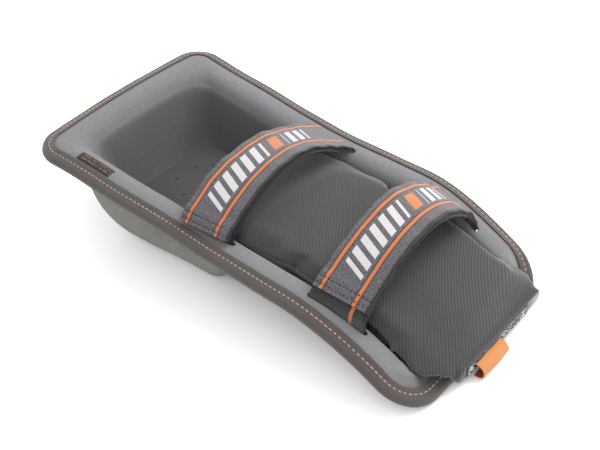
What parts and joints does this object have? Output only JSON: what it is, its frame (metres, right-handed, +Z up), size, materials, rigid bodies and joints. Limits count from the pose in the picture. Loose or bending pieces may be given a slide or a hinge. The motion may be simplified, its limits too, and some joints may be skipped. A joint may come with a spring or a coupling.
{
  "type": "knee and shin work pad",
  "caption": "Work pad for kneeling: moulded shell with a deep knee cup and a shin tray, bound rim, drop-in knee pad, slide-in shin cushion and two hook-and-loop leg straps.",
  "frame": {"origin": "centre of the footprint on the ground, under the pad as it stands on its knee and shin soles", "axes": "+X towards the shin end, +Y across the pad away from the strap ends that are peeled open, +Z up"},
  "size_m": [0.3926, 0.193, 0.1087],
  "materials": {
    "shell_foam": "fine speckled matt moulded foam",
    "liner": "brushed light grey laminate",
    "binding": "woven taupe edge tape",
    "thread": "twisted orange sewing thread",
    "rubber": "matt non-slip rubber",
    "webbing": "heathered charcoal elastic with two orange stripes and pale bars",
    "hook": "black hook-and-loop",
    "cushion_fabric": "fine ribbed dark grey fabric",
    "foam": "open cell foam",
    "pad": "smooth perforated dark foam",
    "label": "black satin label with pale bars",
    "tab": "orange ribbon"
  },
  "bodies": {
    "pad_shell": {"outer_shell": "shell_foam", "inner_liner": "liner", "rim_binding": "binding", "rim_stitching": "thread", "knee_outsole": "rubber", "shin_outsole": "rubber", "rim_label": "label", "cup_loop_patch": "hook", "tray_loop_patch": "hook", "strap_a_lower_band": "webbing", "strap_a_anchor_tail": "webbing", "strap_b_lower_band": "webbing", "strap_b_anchor_tail": "webbing"},
    "knee_pad_unit": {"knee_pad": "pad", "knee_pad_hook_patch": "hook"},
    "shin_cushion_unit": {"shin_cushion_cover": "cushion_fabric", "shin_cushion_core": "foam", "cushion_base_sheet": "cushion_fabric", "cushion_hook_patch": "hook", "care_label": "label"},
    "tab_unit": {"pull_tab": "tab"},
    "strap_a": {"strap_a_upper_band": "webbing", "strap_a_hook_tape": "hook"},
    "strap_b": {"strap_b_upper_band": "webbing", "strap_b_hook_tape": "hook"}
  },
  "joints": [
    {"name": "strap_a_peel", "type": "hinge", "parent": "pad_shell", "child": "strap_a", "pos_m": [-0.0131, 0.073, 0.07228], "axis": [-0.9865, 0.1135, 0.1184], "range_deg": [0, 110]},
    {"name": "strap_b_peel", "type": "hinge", "parent": "pad_shell", "child": "strap_b", "pos_m": [0.10699, 0.0712, 0.05747], "axis": [-0.9422, 0.13, 0.3089], "range_deg": [0, 110]},
    {"name": "knee_pad_lift", "type": "slide", "parent": "pad_shell", "child": "knee_pad_unit", "axis": [0, 0, 1], "range_m": [0, 0.1]},
    {"name": "shin_cushion_slide", "type": "slide", "parent": "pad_shell", "child": "shin_cushion_unit", "axis": [1, 0, 0], "range_m": [0, 0.22]},
    {"name": "pull_tab_flex", "type": "hinge", "parent": "shin_cushion_unit", "child": "tab_unit", "pos_m": [0.18896, -0.0085, 0.0154], "axis": [0, -1, 0], "range_deg": [0, 70]}
  ]
}
